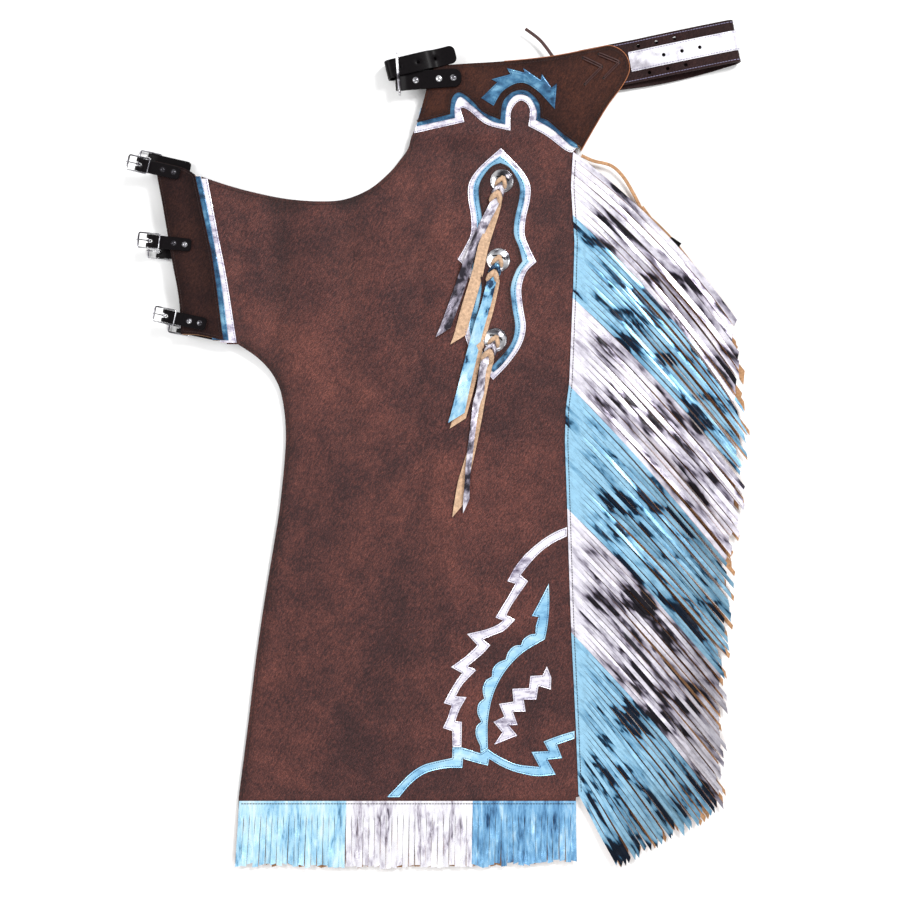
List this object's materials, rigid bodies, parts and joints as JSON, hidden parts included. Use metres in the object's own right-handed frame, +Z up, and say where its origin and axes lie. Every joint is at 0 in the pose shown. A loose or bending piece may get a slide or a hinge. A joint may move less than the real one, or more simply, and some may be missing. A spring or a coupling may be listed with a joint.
{
  "type": "rodeo chaps",
  "caption": "Pair of fringed batwing rodeo chaps in brown leather with light blue and silver trim, closed at the waist and folded flat, one leg under the other.",
  "frame": {"origin": "on the floor, below the middle of the whole", "axes": "+X towards the side fringe, +Y towards the waist, +Z up"},
  "size_m": [0.7482, 1.0302, 0.0476],
  "materials": {
    "brown_leather": "pebbled red-brown leather",
    "overlay_leather": "smooth red-brown leather",
    "blue_foil": "light blue metallic leather",
    "silver_foil": "silver metallic leather",
    "strap_leather": "near-black strap leather",
    "lace_leather": "tan lace leather",
    "steel": "polished nickel"
  },
  "bodies": {
    "chaps": {"near_leg_panel": "brown_leather", "near_yoke": "overlay_leather", "near_thigh_tab": "overlay_leather", "near_yoke_silver_trim": "silver_foil", "near_yoke_blue_trim": "blue_foil", "near_tab_silver_trim": "silver_foil", "near_tab_blue_trim": "blue_foil", "medallion_silver": "silver_foil", "medallion_blue": "blue_foil", "medallion_overlay": "overlay_leather", "yoke_crest": "blue_foil", "corner_silver_flame": "silver_foil", "corner_arrow": "blue_foil", "corner_blue_flame": "blue_foil", "corner_bolt": "silver_foil", "near_side_fringe_1": "silver_foil", "near_side_fringe_2": "blue_foil", "near_side_fringe_3": "silver_foil", "near_side_fringe_4": "blue_foil", "near_side_fringe_5": "silver_foil", "near_side_fringe_6": "blue_foil", "near_hem_fringe_1": "blue_foil", "near_hem_fringe_2": "silver_foil", "near_hem_fringe_3": "blue_foil", "far_leg_panel": "brown_leather", "far_yoke": "overlay_leather", "far_thigh_tab": "overlay_leather", "far_yoke_silver_trim": "silver_foil", "far_yoke_blue_trim": "blue_foil", "far_tab_silver_trim": "silver_foil", "far_tab_blue_trim": "blue_foil", "far_side_fringe": "blue_foil", "far_hem_fringe": "blue_foil", "tab_strap_1": "strap_leather", "tab_buckle_1": "steel", "far_tab_buckle_1": "strap_leather", "concho_1": "steel", "concho_string_1": "lace_leather", "tab_strap_2": "strap_leather", "tab_buckle_2": "steel", "far_tab_buckle_2": "strap_leather", "concho_2": "steel", "concho_string_2": "lace_leather", "tab_strap_3": "strap_leather", "tab_buckle_3": "steel", "far_tab_buckle_3": "strap_leather", "concho_3": "steel", "concho_string_3": "lace_leather", "leg_billet": "strap_leather", "lace_tail": "lace_leather", "yoke_lace_1": "lace_leather", "yoke_lace_2": "lace_leather", "belt": "brown_leather", "belt_silver_strip": "silver_foil", "waist_strap": "strap_leather", "waist_buckle": "steel", "waist_billet": "strap_leather"},
    "prong_1": {"tab_prong_1": "steel"},
    "prong_2": {"tab_prong_2": "steel"},
    "prong_3": {"tab_prong_3": "steel"}
  },
  "joints": [
    {"name": "prong_1_swing", "type": "hinge", "parent": "chaps", "child": "prong_1", "pos_m": [-0.35888, 0.33769, 0.02641], "axis": [0.2215, 0.9751, 0], "range_deg": [0, 100]},
    {"name": "prong_2_swing", "type": "hinge", "parent": "chaps", "child": "prong_2", "pos_m": [-0.34619, 0.24528, 0.02641], "axis": [0.1045, 0.9945, 0], "range_deg": [0, 100]},
    {"name": "prong_3_swing", "type": "hinge", "parent": "chaps", "child": "prong_3", "pos_m": [-0.32716, 0.15469, 0.02641], "axis": [0.2079, 0.9781, 0], "range_deg": [0, 100]}
  ]
}
